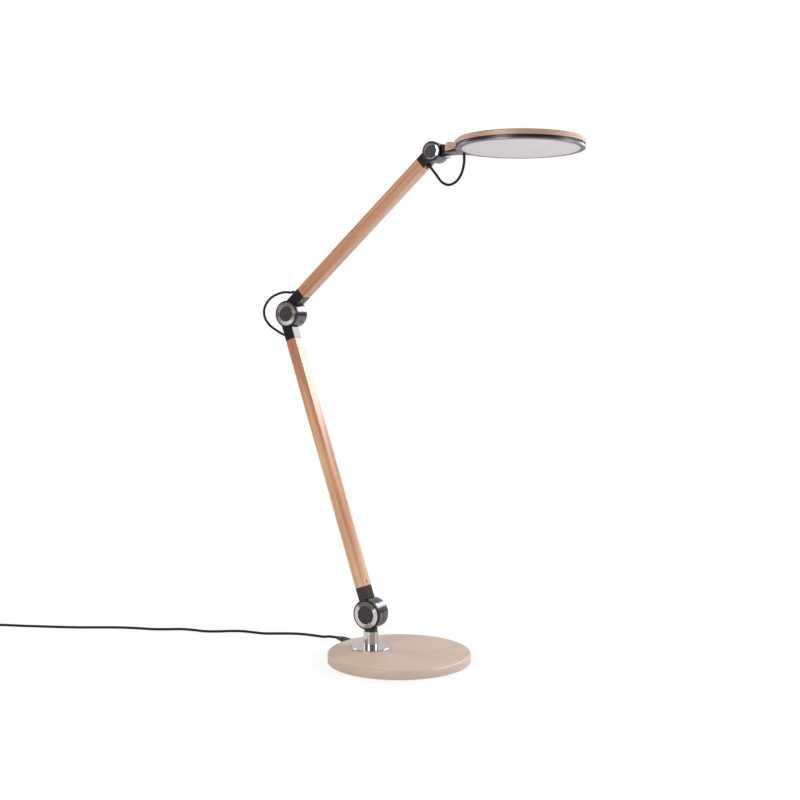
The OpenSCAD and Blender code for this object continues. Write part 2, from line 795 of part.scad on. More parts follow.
// Plan of the head, drawn in by inset: a disc and a neck joined by hollow curves
module head_plan(inset) {
  fillet_y = neck_half + neck_fillet;
  fillet_x = sqrt(pow(head_d / 2 + neck_fillet, 2) - pow(fillet_y, 2));
  translate([head_reach, 0]) {
    circle(head_d / 2 - inset, $fn = 128);
    difference() {
      translate([neck_start + inset - head_reach, -fillet_y])
        square([head_reach - neck_start - inset, 2 * fillet_y]);
      for (s = [-1, 1]) {
        translate([-fillet_x, s * fillet_y]) circle(neck_fillet + inset);
        translate([-2 * head_d, s > 0 ? neck_half - inset : -fillet_y - 1])
          square([2 * head_d - fillet_x, neck_fillet + inset + 1]);
      }
    }
  }
}
// Side view of the shell: level over the disc, then rising to a rounded brow and closing down on the
// bezel along the neck. The inside view lies drop below the top and sink below the lower edge.
module shell_side(drop, sink) {
  near_disc = head_reach - head_d / 2;
  far = head_reach + head_d / 2 + 1;
  brow_z = top_z + neck_rise - drop;
  neck_z = plate_z + loose_fit - sink;
  rotate([90, 0, 0]) linear_extrude(2 * head_d, center = true) polygon([
    [neck_start, neck_z], [neck_start + neck_level, neck_z], [near_disc - neck_corner, shell_z - sink],
    [far, shell_z - sink], [far, top_z - drop], [near_disc, top_z - drop],
    [neck_start + neck_level, brow_z],
    [neck_start + neck_corner, brow_z], [neck_start, brow_z - neck_corner]
  ]);
}
module tongue_space(gap) {
  translate([neck_start - 5, -tongue_half - gap, plate_z - 2 * gap])
    cube([tongue_len + 5, 2 * (tongue_half + gap), tongue_h + 3 * gap]);
}
module head_shell() {
  color(rose_metal) head_frame() difference() {
    intersection() {
      translate([0, 0, plate_z]) linear_extrude(3 * shell_h) head_plan(0);
      shell_side(0, 0);
    }
    intersection() {
      translate([0, 0, plate_z - 1]) linear_extrude(3 * shell_h) head_plan(shell_t);
      shell_side(shell_t, 1);
    }
    tongue_space(loose_fit);
  }
}
module head_bezel() {
  color(grey) head_frame() difference() {
    union() {
      translate([0, 0, under_z]) linear_extrude(bezel_h) head_plan(0);
      translate([0, 0, plate_z]) linear_extrude(flange_top - plate_z) difference() {
        head_plan(flange_inset);
        head_plan(flange_inset + flange_wall);
      }
    }
    translate([head_reach, 0, 0]) {
      translate([0, 0, under_z - 1]) cylinder(d = panel_d, h = bezel_h + 2);
      translate([0, 0, under_z + panel_lip]) cylinder(d = panel_d + 2 * panel_ledge, h = bezel_h);
    }
    tongue_space(loose_fit / 2);
    translate([neck_screw_x, 0, under_z - 1]) {
      cylinder(d = neck_screw_d + 2 * slip_fit, h = bezel_h + 2);
      cylinder(d = neck_screw_head_d + 2 * slip_fit, h = neck_screw_sink + 1);
    }
    translate([head_entry, 0, under_z - 1]) cylinder(d = lead_bore_d, h = bezel_h + 2);
  }
}
module diffuser() {
  color(white) head_frame() translate([head_reach, 0, under_z]) {
    cylinder(d = panel_d - 2 * slip_fit, h = bezel_h);
    translate([0, 0, panel_lip])
      cylinder(d = panel_d + 2 * (panel_ledge - slip_fit), h = bezel_h - panel_lip);
  }
}
guide_r = panel_d / 2 - 3;
module light_guide() {
  color(white) head_frame() translate([head_reach, 0, plate_z]) cylinder(r = guide_r, h = guide_t);
}
module led_board() {
  color(board_green) head_frame() translate([head_reach, 0, plate_z + guide_t]) {
    cylinder(r = guide_r + 2.5, h = led_board_t);
    for (i = [0 : led_count - 1]) rotate([0, 0, 360 * i / led_count])
      translate([guide_r + slip_fit, -led_size[1] / 2, -led_size[2]]) cube(led_size + [0, 0, 0.5]);
  }
}
module head_knuckle() {
  color(black) difference() {
    union() {
      arm_plane(wrist, 0) {
        half_barrel(head_r - band_t - slip_fit, 1, washer_t / 2, barrel_half);
        difference() {
          bar_solid(0, neck_start - loose_fit);
          partner_space(head_r, 1);
        }
      }
      head_frame() translate([neck_start - 2, -tongue_half, plate_z])
        cube([tongue_len + 1, 2 * tongue_half, tongue_h]);
    }
    arm_plane(wrist, 0) bolt_holes(head_bolt_d, 1);
    head_frame() translate([neck_screw_x, 0, plate_z - 1])
      cylinder(d = neck_screw_d + 2 * slip_fit, h = 5.6);
  }
}
module neck_screw() {
  color(steel) head_frame() translate([neck_screw_x, 0, under_z + neck_screw_sink]) {
    difference() {
      translate([0, 0, -neck_screw_head_h]) cylinder(d = neck_screw_head_d, h = neck_screw_head_h);
      translate([0, 0, -neck_screw_head_h - 1]) cylinder(d = 2.4, h = 1.8, $fn = 6);
    }
    cylinder(d = neck_screw_d, h = 5);
  }
}

// Leads between the arms: each leaves one gland, hangs free in the arm plane and enters the next
function lower_point(x, y) = shoulder + turned(lower_angle, [x, y]);
function upper_point(x, y) = elbow + turned(upper_rise, [x, y + elbow_offset]);
function head_point(x, z) = wrist + turned(-head_pitch, [x, z]);
function on_plane(p) = [for (q = p) [q[0], 0, q[1]]];
gland_top = half_w + gland_h;
// Shapes of the loops, as shares of their reach, their drop and the way to the head's entry
elbow_loop_shape = [
  [-0.34, 0.65], [-0.74, 0.51], [-0.99, 0.23], [-1, -0.07], [-0.83, -0.31], [-0.59, -0.47]
];
head_loop_shape = [[0.04, -0.68], [0.23, -0.9], [0.48, -1], [0.74, -0.91], [0.92, -0.68], [1, -0.38]];
elbow_loop_points = on_plane(concat(
  [
    upper_point(elbow_gland, lead_d / 2 + loose_fit),
    upper_point(elbow_gland, gland_top - 1),
    upper_point(elbow_gland - 1, gland_top + 2),
    upper_point(elbow_gland - 4.5, gland_top + 4)
  ],
  [for (q = elbow_loop_shape) elbow + elbow_loop_reach * q],
  [
    lower_point(lower_len - elbow_gland + 0.5, gland_top + 2.5),
    lower_point(lower_len - elbow_gland, gland_top - 1),
    lower_point(lower_len - elbow_gland, lead_d / 2 + loose_fit)
  ]
));
head_loop_points = on_plane(concat(
  [
    upper_point(upper_len - head_gland, -lead_d / 2 - loose_fit),
    upper_point(upper_len - head_gland, -gland_top + 1),
    upper_point(upper_len - head_gland, -gland_top - 1.5)
  ],
  [for (q = head_loop_shape) head_point(head_entry * q[0], head_loop_drop * q[1])],
  [
    head_point(head_entry, under_z - 2),
    head_point(head_entry, under_z),
    head_point(head_entry, plate_z - loose_fit)
  ]
));
module elbow_loop() {
  color(rubber) tube(smooth_path(elbow_loop_points, 3), lead_d, 8, [0, 1, 0]);
}
module head_loop() {
  color(rubber) tube(smooth_path(head_loop_points, 3), lead_d, 8, [0, 1, 0]);
}

// Supply lead: plug in the base wall, along the table, into a tied coil and a plug-in adapter
module ribbed_relief(d, length) {
  ribs = floor(length / rib_pitch);
  pitch = length / (ribs + 1);
  difference() {
    rotate_extrude() polygon([
      [0, 0], [d / 2, 0], [cord_d / 2 + relief_wall, length], [0, length]
    ]);
    for (i = [1 : ribs]) translate([0, 0, i * pitch - relief_slot]) difference() {
      cylinder(d = 2 * d, h = relief_slot);
      cylinder(d = cord_d + relief_wall, h = 4 * relief_slot, center = true);
    }
  }
}
module dc_plug() {
  color(rubber) radial_frame(jack_bearing, base_r, jack_z) {
    difference() {
      translate([0, 0, -barrel_len]) cylinder(d = barrel_d, h = barrel_len + 1);
      translate([0, 0, -barrel_len - 1]) cylinder(d = barrel_pin_d + 2 * slip_fit, h = barrel_len + 1);
    }
    rotate_extrude() polygon([
      [0, 0.2], [plug_grip_d / 2 - 0.4, 0.2], [plug_grip_d / 2, 0.6], [plug_grip_d / 2, plug_grip_len - 4],
      [relief_d / 2, plug_grip_len], [0, plug_grip_len]
    ]);
    translate([0, 0, plug_grip_len]) ribbed_relief(relief_d, plug_relief_len);
  }
}
function plug_point(r) = [r * cos(jack_bearing), r * sin(jack_bearing), jack_z];
coil_start = coil_centre + coil_r * [cos(coil_bearing), sin(coil_bearing)];
coil_heading = [-sin(coil_bearing), cos(coil_bearing)];
table_z = cord_d / 2 + slip_fit;
cord_points = [
  plug_point(plug_end + slip_fit),
  plug_point(plug_end + cord_d),
  [-134, 43.5, 4.6],
  [-144, 46.5, 2.4],
  [-155, 47.5, table_z],
  [-168, 47, table_z],
  [-182, 45, table_z],
  [-197, 39, table_z],
  [-212, 30.5, table_z],
  [-227, 22.5, table_z],
  [-244, 20, table_z],
  [-261, 17.5, table_z],
  [-276, 9.5, table_z],
  [-290, -1, table_z],
  [-305, -8.5, table_z],
  [-322, -10.5, table_z],
  [-341, -15, table_z],
  [-357, -25, table_z],
  [-375, -35, table_z],
  [-398, -42, table_z],
  [-422, -51, table_z],
  [-446, -64, table_z],
  [-470, -78, table_z],
  [-495, -90, table_z],
  [-521, -101, table_z],
  [-547, -112, table_z],
  [-573, -125, coil_z - 0.4],
  concat(coil_start - 2 * cord_d * coil_heading, coil_z),
  concat(coil_start - cord_d * coil_heading, coil_z)
];
module cord() {
  color(rubber) tube(smooth_path(cord_points, 2), cord_d, 8, [0, 0, 1]);
}
// The coil spirals in and out, layer by layer, and climbs in the half turn where the spiral reverses
function ease(t) = t <= 0 ? 0 : t >= 1 ? 1 : t * t * (3 - 2 * t);
function fold_back(t) = abs(t - 2 * round(t / 2));
function coil_point(u) =
  let (
    r = coil_r - layer_turns * coil_pitch * fold_back(u / layer_turns),
    a = coil_bearing + 360 * u,
    climb = total([for (k = [1 : coil_layers - 1]) ease((u - k * layer_turns + 0.25) / 0.5)])
  )
  [coil_centre[0] + r * cos(a), coil_centre[1] + r * sin(a), coil_z + coil_step * climb];
coil_count = coil_turns * rings_per_turn;
coil_turn_points = [for (i = [0 : coil_count]) coil_point(i / rings_per_turn)];
coil_path = concat(
  [concat(coil_start - cord_d * coil_heading, coil_z)],
  coil_turn_points,
  [concat(coil_start + cord_d * coil_heading, coil_top)]
);
coil_gap = min([
  for (i = [0 : len(coil_turn_points) - 1], j = [i + rings_per_turn / 2 : len(coil_turn_points) - 1])
    norm(coil_turn_points[i] - coil_turn_points[j])
]) - cord_d;
echo(least_gap_in_coil = coil_gap);
echo(lead_length = path_length(cord_points) + path_length(coil_path));
module cord_coil() {
  color(rubber) tube(coil_path, cord_d, 6, [0, 0, 1]);
}
module coil_tie() {
  tie_in = coil_inner - cord_d / 2 - loose_fit;
  tie_out = coil_r + cord_d / 2 + loose_fit;
  tie_high = coil_top + cord_d / 2 + loose_fit - tie_t;
  mid = [(tie_in + tie_out) / 2, (tie_t + tie_high + tie_t) / 2];
  size = [tie_out - tie_in, tie_high];
  color(black) translate([coil_centre[0], coil_centre[1], 0]) rotate([0, 0, coil_bearing + 180])
    translate([mid[0], 0, mid[1]]) rotate([90, 0, 0]) linear_extrude(tie_w, center = true) difference() {
      rounded_square(size[0] + 2 * tie_t, size[1] + 2 * tie_t, 2);
      rounded_square(size[0], size[1], 1);
    }
}
module adapter_frame(s) {
  translate([coil_start[0], coil_start[1], coil_top]) rotate([0, 0, coil_bearing + 90])
    translate([s, 0, 0]) rotate([0, 90, 0]) children();
}
module adapter() {
  color(black) {
    adapter_frame(cord_d + adapter_relief_len) {
      mirror([0, 0, 1]) ribbed_relief(relief_d, adapter_relief_len);
      linear_extrude(adapter_len) rounded_square(adapter_h, adapter_w, adapter_edge);
    }
  }
}
module adapter_pins() {
  color(chrome) for (s = [-1, 1])
    adapter_frame(cord_d + adapter_relief_len + adapter_len) translate([0, s * prong_gap / 2, 0]) {
      cylinder(d = prong_d, h = prong_len - prong_d / 2);
      translate([0, 0, prong_len - prong_d / 2]) sphere(d = prong_d);
    }
}

foot_pad();
ballast_plate();
base_cover();
base_screws();
dc_jack();
touch_board();
base_lead();
post_flange();
post();
post_nut();
swivel_washer();
spindle_clip();
shoulder_knuckle();
shoulder_rear_shell();
shoulder_washer();
shoulder_front_band();
shoulder_cap();
shoulder_ring();
shoulder_bolt();
shoulder_nut();
lower_foot_fitting();
lower_bar();
lower_top_fitting();
lower_bar_pins();
lower_lead();
elbow_rear_shell();
elbow_washer();
elbow_front_band();
elbow_cap();
elbow_ring();
elbow_bolt();
elbow_nut();
upper_foot_fitting();
upper_bar();
upper_top_fitting();
upper_bar_pins();
upper_lead();
head_rear_shell();
head_washer();
head_front_band();
head_cap();
head_ring();
head_bolt();
head_nut();
elbow_loop();
head_loop();
head_knuckle();
head_shell();
head_bezel();
led_board();
light_guide();
diffuser();
neck_screw();
dc_plug();
cord();
cord_coil();
coil_tie();
adapter();
adapter_pins();
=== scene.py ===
# %% [markdown]
# # A desk lamp with two wooden arms
# A heavy round base carries a chrome post. Above it, two square wooden arms fold at three round friction
# joints and hold a flat round light head. The solid model arrives finished, so this lesson adds the camera,
# the flexible leads, the softer edges and all the finishes.

# %% Load the frame
import json
import math

import bmesh
import bpy
from mathutils import Matrix, Vector


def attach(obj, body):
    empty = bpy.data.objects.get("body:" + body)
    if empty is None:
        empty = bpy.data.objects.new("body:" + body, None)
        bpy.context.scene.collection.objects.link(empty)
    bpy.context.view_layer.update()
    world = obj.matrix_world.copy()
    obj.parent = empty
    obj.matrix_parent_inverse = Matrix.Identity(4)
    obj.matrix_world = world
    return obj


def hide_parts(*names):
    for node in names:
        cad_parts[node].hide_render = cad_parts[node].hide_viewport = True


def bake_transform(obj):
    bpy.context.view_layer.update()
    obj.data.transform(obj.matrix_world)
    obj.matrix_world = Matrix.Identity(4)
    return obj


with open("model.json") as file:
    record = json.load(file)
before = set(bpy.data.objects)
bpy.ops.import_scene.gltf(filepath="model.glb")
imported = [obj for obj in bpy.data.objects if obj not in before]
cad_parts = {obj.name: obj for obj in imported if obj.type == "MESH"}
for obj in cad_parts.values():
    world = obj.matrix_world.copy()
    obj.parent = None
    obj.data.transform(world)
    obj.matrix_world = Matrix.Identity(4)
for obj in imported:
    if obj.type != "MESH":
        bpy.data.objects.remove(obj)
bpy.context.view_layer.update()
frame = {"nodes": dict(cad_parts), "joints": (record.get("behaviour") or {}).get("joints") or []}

MM = 0.001
nodes = frame["nodes"]
joints = {joint["name"]: Vector(joint["pos_m"]) for joint in frame["joints"]}


def link(name, data):
    """Put a new object with this data in the scene."""
    piece = bpy.data.objects.new(name, data)
    bpy.context.scene.collection.objects.link(piece)
    return piece


# %% [markdown]
# ## Camera
# The photograph was taken from a little above the table, turned 30 degrees to the right of the arms' plane.
# The place comes from fitting the ellipses of the base and head, with the base's diameter as the scale.

# %% Camera
FRAME_PIXELS = 800
FOCAL_PIXELS = 1180.2
CENTRE_COLUMN = 399.1
SENSOR_WIDTH = 36
CAMERA_BEARING = math.radians(30)
CAMERA_DISTANCE = 1469.6 * MM
CAMERA_HEIGHT = 397.8 * MM
CAMERA_PITCH = 0.047

lens = bpy.data.cameras.new("photo_camera")
lens.sensor_width = SENSOR_WIDTH
lens.lens = FOCAL_PIXELS / FRAME_PIXELS * SENSOR_WIDTH
lens.shift_x = (FRAME_PIXELS / 2 - CENTRE_COLUMN) / FRAME_PIXELS
camera = link("photo_camera", lens)
camera.location = (
    CAMERA_DISTANCE * math.sin(CAMERA_BEARING),
    -CAMERA_DISTANCE * math.cos(CAMERA_BEARING),
    CAMERA_HEIGHT,
)
camera.rotation_euler = (math.pi / 2 - CAMERA_PITCH, 0, CAMERA_BEARING)
bpy.context.scene.camera = camera
print("lens", round(lens.lens, 1), "mm")

# %% [markdown]
# ## Arm frames
# A place on an arm is easiest to give along its own bar. An arm frame puts x along the bar, y across it in
# the arms' plane and z towards the front, so the same few numbers place points on both arms. The head has a
# small pitch of its own, and its points are measured from the wrist.

# %% Arm frames
LOWER_ANGLE = math.radians(90 + 18.7)
UPPER_ANGLE = math.radians(40.9)
HEAD_PITCH = math.radians(0.7)
LOWER_LENGTH = 401 * MM
UPPER_LENGTH = 288 * MM
ELBOW_OFFSET = 7.5 * MM

shoulder = joints["lower_tilt"]
elbow = joints["elbow_tilt"]
wrist = joints["head_tilt"]


def arm_frame(pivot, angle, across=0.0):
    along = Vector((math.cos(angle), 0, math.sin(angle)))
    side = Vector((-math.sin(angle), 0, math.cos(angle)))
    turned = Matrix((along, side, Vector((0, -1, 0)))).transposed().to_4x4()
    return Matrix.Translation(pivot + across * side) @ turned


lower_frame = arm_frame(shoulder, LOWER_ANGLE)
upper_frame = arm_frame(elbow, UPPER_ANGLE, ELBOW_OFFSET)
head_turn = Matrix.Rotation(HEAD_PITCH, 3, "Y")


def on_lower(x, y):
    """A point on the lower arm, with x measured down from the elbow."""
    return lower_frame @ Vector((LOWER_LENGTH - x, y, 0))


def on_upper(x, y):
    return upper_frame @ Vector((x, y, 0))


def at_wrist(x, z):
    return wrist + head_turn @ Vector((x, 0, z))


print("elbow", [round(x, 4) for x in elbow], "wrist", [round(x, 4) for x in wrist])

# %% [markdown]
# ## Leads
# A lead is a round tube along a smooth curve. The route's points are joined by a spline that passes through
# all of them, a curve object gives the tube its round section, and the curve then becomes a mesh, because
# only a mesh can bend across a joint.

# %% Tubes
TUBE_RESOLUTION = 4


def smooth_route(points, steps):
    last = len(points) - 1
    route = []
    for i in range(last):
        a, b, c, d = (points[max(i - 1, 0)], points[i], points[i + 1], points[min(i + 2, last)])
        for k in range(steps):
            t = k / steps
            pull = (2 * a - 5 * b + 4 * c - d) * t**2 + (3 * b - a - 3 * c + d) * t**3
            route.append(0.5 * (2 * b + (c - a) * t + pull))
    return route + [points[last]]


def route_length(route):
    return sum((b - a).length for a, b in zip(route, route[1:]))


def lead_tube(name, route, diameter):
    line = bpy.data.curves.new(name + "_line", "CURVE")
    line.dimensions = "3D"
    line.bevel_depth = diameter / 2
    line.bevel_resolution = TUBE_RESOLUTION
    line.use_fill_caps = True
    spline = line.splines.new("POLY")
    spline.points.add(len(route) - 1)
    for point, place in zip(spline.points, route):
        point.co = (*place, 1)
    holder = link(name + "_line", line)
    bpy.context.view_layer.update()
    drawn = holder.evaluated_get(bpy.context.evaluated_depsgraph_get())
    mesh = bpy.data.meshes.new_from_object(drawn)
    bpy.data.objects.remove(holder)
    piece = link(name, mesh)
    for face in mesh.polygons:
        face.use_smooth = True
    print(name, round(route_length(route), 3), "m long")
    return piece


# %% [markdown]
# ## Loops at the elbow and under the head
# The lead runs inside each bar, comes out of a short gland in the black fitting, hangs free past the joint
# and goes in again. Each loop's shape is given in shares of its reach.

# %% Loops
LEAD_D = 3.2 * MM
LEAD_DEPTH = 1.9 * MM
GLAND_TOP = 10.1 * MM
ELBOW_GLAND = 22.5 * MM
HEAD_GLAND = UPPER_LENGTH - 16.6 * MM
HEAD_ENTRY = 38.8 * MM
UNDERSIDE = -3.6 * MM
BEZEL_HEIGHT = 3 * MM
ELBOW_LOOP_REACH = 43.5 * MM
HEAD_LOOP_DROP = 40 * MM
ELBOW_LOOP_SLACK = 22 * MM
HEAD_LOOP_SLACK = 10 * MM
LOOP_STEPS = 6
elbow_loop_shape = [
    (-0.34, 0.65), (-0.74, 0.51), (-0.99, 0.23), (-1, -0.07), (-0.83, -0.31), (-0.59, -0.47),
]
head_loop_shape = [
    (0.04, -0.68), (0.23, -0.9), (0.48, -1), (0.74, -0.91), (0.92, -0.68), (1, -0.38),
]
elbow_points = [
    on_upper(ELBOW_GLAND, LEAD_DEPTH),
    on_upper(ELBOW_GLAND, GLAND_TOP - 1 * MM),
    on_upper(ELBOW_GLAND - 1 * MM, GLAND_TOP + 2 * MM),
    on_upper(ELBOW_GLAND - 4.5 * MM, GLAND_TOP + 4 * MM),
    *[elbow + ELBOW_LOOP_REACH * Vector((x, 0, z)) for x, z in elbow_loop_shape],
    on_lower(ELBOW_GLAND - 0.5 * MM, GLAND_TOP + 2.5 * MM),
    on_lower(ELBOW_GLAND, GLAND_TOP - 1 * MM),
    on_lower(ELBOW_GLAND, LEAD_DEPTH),
]
head_points = [
    on_upper(HEAD_GLAND, -LEAD_DEPTH),
    on_upper(HEAD_GLAND, -GLAND_TOP + 1 * MM),
    on_upper(HEAD_GLAND, -GLAND_TOP - 1.5 * MM),
    *[at_wrist(HEAD_ENTRY * x, HEAD_LOOP_DROP * z) for x, z in head_loop_shape],
    at_wrist(HEAD_ENTRY, UNDERSIDE - 2 * MM),
    at_wrist(HEAD_ENTRY, UNDERSIDE),
    at_wrist(HEAD_ENTRY, UNDERSIDE + BEZEL_HEIGHT - 0.3 * MM),
]
leads = []
for name, replaced, points, bodies, slack in (
    ("elbow_loop_lead", "elbow_loop", elbow_points, ("upper_arm", "lower_arm"), ELBOW_LOOP_SLACK),
    ("head_loop_lead", "head_loop", head_points, ("upper_arm", "head"), HEAD_LOOP_SLACK),
):
    route = smooth_route(points, LOOP_STEPS)
    loop = lead_tube(name, route, LEAD_D)
    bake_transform(loop)
    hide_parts(replaced)
    leads.append(loop)

# %% [markdown]
# ## Supply lead
# The supply lead leaves the plug in the base wall, drops to the table and wanders off to the left. What the
# picture doesn't show of its 1.8 metres is wound into a small coil with a tie, four layers that spiral in
# and out, and it ends in a plug-in adapter beside the coil.

# %% Coil
CORD_D = 3.5 * MM
COIL_CENTRE = Vector((-592, -164, 0)) * MM
COIL_BEARING = math.radians(118)
COIL_RADIUS = 25.2 * MM
COIL_PITCH = 4.1 * MM
COIL_LAYERS = 4
LAYER_TURNS = 2.5
CLIMB_TURNS = 0.5
RINGS_PER_TURN = 24
COIL_Z = CORD_D / 2 + 1.3 * MM


def ease(t):
    t = min(max(t, 0), 1)
    return t * t * (3 - 2 * t)


def coil_point(turns):
    """A point on the coil: the radius runs in and out again, and the height climbs between two layers."""
    layers = turns / LAYER_TURNS
    inward = abs(layers - 2 * math.floor(layers / 2 + 0.5))
    radius = COIL_RADIUS - LAYER_TURNS * COIL_PITCH * inward
    angle = COIL_BEARING + 2 * math.pi * turns
    climbs = [
        ease((turns - k * LAYER_TURNS + CLIMB_TURNS / 2) / CLIMB_TURNS) for k in range(1, COIL_LAYERS)
    ]
    height = COIL_Z + COIL_PITCH * sum(climbs)
    return COIL_CENTRE + Vector((radius * math.cos(angle), radius * math.sin(angle), height))


coil_heading = Vector((-math.sin(COIL_BEARING), math.cos(COIL_BEARING), 0))
coil_count = int(COIL_LAYERS * LAYER_TURNS * RINGS_PER_TURN)
coil_route = [coil_point(i / RINGS_PER_TURN) for i in range(coil_count + 1)]
print("coil", round(route_length(coil_route), 3), "m long")

# %% [markdown]
# ## Free part of the supply lead
# Between the plug and the coil, the lead follows a row of points on the table.

# %% Supply lead
PLUG_BEARING = math.radians(162)
PLUG_HEIGHT = 6.25 * MM
PLUG_END = 123 * MM
TABLE_Z = CORD_D / 2 + 0.1 * MM
SUPPLY_STEPS = 4


def plug_point(radius):
    return Vector((radius * math.cos(PLUG_BEARING), radius * math.sin(PLUG_BEARING), PLUG_HEIGHT))


drop_points = [(-134, 43.5, 4.6), (-144, 46.5, 2.4)]
table_points = [
    (-155, 47.5), (-168, 47), (-182, 45), (-197, 39), (-212, 30.5), (-227, 22.5), (-244, 20), (-261, 17.5),
    (-276, 9.5), (-290, -1), (-305, -8.5), (-322, -10.5), (-341, -15), (-357, -25), (-375, -35), (-398, -42),
    (-422, -51), (-446, -64), (-470, -78), (-495, -90), (-521, -101), (-547, -112),
]
free_route = smooth_route(
    [plug_point(PLUG_END + 0.1 * MM), plug_point(PLUG_END + CORD_D)]
    + [Vector(place) * MM for place in drop_points]
    + [Vector((x * MM, y * MM, TABLE_Z)) for x, y in table_points]
    + [Vector((-573 * MM, -125 * MM, COIL_Z - 0.4 * MM))]
    + [coil_route[0] - 2 * CORD_D * coil_heading, coil_route[0] - CORD_D * coil_heading],
    SUPPLY_STEPS,
)
supply_route = free_route + coil_route + [coil_route[-1] + CORD_D * coil_heading]
supply_lead = lead_tube("supply_lead", supply_route, CORD_D)
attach(supply_lead, "base")
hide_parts("cord", "cord_coil")
leads.append(supply_lead)

# %% [markdown]
# ## Finishes
# Every finish is a small set of shader nodes on object coordinates: a mottle that shifts the colour a little,
# and a fine grain that shifts the roughness and, on coarser surfaces, the bump. One function makes that pair,
# and each finish then adds what is special to it.

# %% Finish helpers
def tone(code):
    channels = [int(code[i : i + 2], 16) / 255 for i in (0, 2, 4)]
    linear = [c / 12.92 if c <= 0.04045 else ((c + 0.055) / 1.055) ** 2.4 for c in channels]
    return (*linear, 1.0)


def shader_node(tree, kind, inputs=None, **settings):
    """Add a node. Its settings come first, as they decide its sockets. An input is a value or a socket."""
    node = tree.nodes.new(kind)
    for name, value in settings.items():
        setattr(node, name, value)
    for socket, value in (inputs or {}).items():
        if isinstance(value, bpy.types.NodeSocket):
            tree.links.new(value, node.inputs[socket])
        else:
            node.inputs[socket].default_value = value
    return node


def range_node(tree, value, start, end, low=0.0, high=1.0):
    inputs = {"Value": value, "From Min": start, "From Max": end, "To Min": low, "To Max": high}
    return shader_node(tree, "ShaderNodeMapRange", inputs).outputs["Result"]


class Finish:
    """A material with its shader, and helpers that add to it."""

    def __init__(self, name, **settings):
        self.material = bpy.data.materials.new(name)
        self.material.use_nodes = True
        self.tree = self.material.node_tree
        self.shader = self.tree.nodes["Principled BSDF"]
        self.place = self.add("ShaderNodeTexCoord").outputs["Object"]
        for socket, value in settings.items():
            self.shader.inputs[socket.replace("_", " ")].default_value = value

    def add(self, kind, inputs=None, **settings):
        return shader_node(self.tree, kind, inputs, **settings)

    def mapped(self, scale=(1, 1, 1), turn=(0, 0, 0), shift=(0, 0, 0)):
        turned = self.add("ShaderNodeMapping", {"Vector": self.place, "Location": shift, "Rotation": turn})
        stretched = self.add("ShaderNodeVectorMath", {0: turned.outputs["Vector"], 1: scale},
                             operation="MULTIPLY")
        return stretched.outputs["Vector"]

    def reach(self, axis, point=(0, 0, 0)):
        """The distance along an axis from a point."""
        offset = self.add("ShaderNodeVectorMath", {0: self.place, 1: point}, operation="SUBTRACT")
        along = self.add("ShaderNodeVectorMath", {0: offset.outputs["Vector"], 1: axis},
                         operation="DOT_PRODUCT")
        return along.outputs["Value"]

    def noise(self, place, scale, detail=3.0, roughness=0.55):
        inputs = {"Vector": place, "Scale": scale, "Detail": detail, "Roughness": roughness}
        return self.add("ShaderNodeTexNoise", inputs).outputs["Fac"]

    def ranged(self, value, start, end, low=0.0, high=1.0):
        return range_node(self.tree, value, start, end, low, high)

    def ramp(self, factor, *stops):
        node = self.add("ShaderNodeValToRGB", {"Fac": factor})
        marks = node.color_ramp.elements
        while len(marks) < len(stops):
            marks.new(0.5)
        for mark, (place, code) in zip(marks, stops):
            mark.position = place
            mark.color = tone(code)
        return node.outputs["Color"]

    def mixed(self, factor, first, second, blend="MIX"):
        inputs = {"Factor": factor, "A": first, "B": second}
        return self.add("ShaderNodeMix", inputs, data_type="RGBA", blend_type=blend).outputs["Result"]

    def colour(self, source):
        self.tree.links.new(source, self.shader.inputs["Base Color"])

    def rough(self, factor, low, high):
        self.tree.links.new(self.ranged(factor, 0, 1, low, high), self.shader.inputs["Roughness"])

    def bump(self, height, depth, strength=1.0):
        node = self.add("ShaderNodeBump", {"Height": height, "Strength": strength, "Distance": depth})
        self.tree.links.new(node.outputs["Normal"], self.shader.inputs["Normal"])


def mottled(name, dark, pale, size, grain, depth, rough, **settings):
    """A finish whose colour drifts between two tones, over a fine even grain."""
    finish = Finish(name, **settings)
    drift = finish.noise(finish.place, 1 / size)
    finish.colour(finish.ramp(drift, (0.3, dark), (0.7, pale)))
    fine = finish.noise(finish.place, 1 / grain, detail=2.0)
    finish.rough(fine, *rough)
    if depth > 0:
        finish.bump(fine, depth)
    return finish


# %% [markdown]
# ## Painted, plated and moulded finishes
# The base wears a satin rose powder coat, the head's shell is rose anodised metal, the fittings are black
# with a soft gloss, the barrels are dark polished plating and the rings and post bright chrome. The two
# platings are each used twice, plain and with a black edge.

# %% Metal and moulded finishes
dark_plating = dict(dark="5a5862", pale="64626b", size=10 * MM, grain=0.8 * MM, depth=0.0, rough=(0.17, 0.23),
                    Metallic=1.0)
chrome = dict(dark="bfbdc2", pale="cac8cd", size=12 * MM, grain=0.8 * MM, depth=0.0, rough=(0.06, 0.11),
              Metallic=1.0)
rose_paint = mottled("rose_powder_coat", "bca699", "c4b1a4", 60 * MM, 0.5 * MM, 0.02 * MM, (0.42, 0.56),
                     Metallic=0.1)
rose_metal = mottled("rose_anodised_shell", "a98d7f", "b4998b", 40 * MM, 0.8 * MM, 0.0, (0.55, 0.6),
                     Metallic=0.4)
black_coat = mottled("black_fitting_coat", "191518", "221d21", 8 * MM, 0.8 * MM, 0.0, (0.14, 0.2))
dark_plate = mottled("dark_barrel_plate", **dark_plating)
edged_plate = mottled("black_edged_plate", **dark_plating)
bright_plate = mottled("bright_chrome", **chrome)
ring_plate = mottled("black_edged_chrome", **chrome)
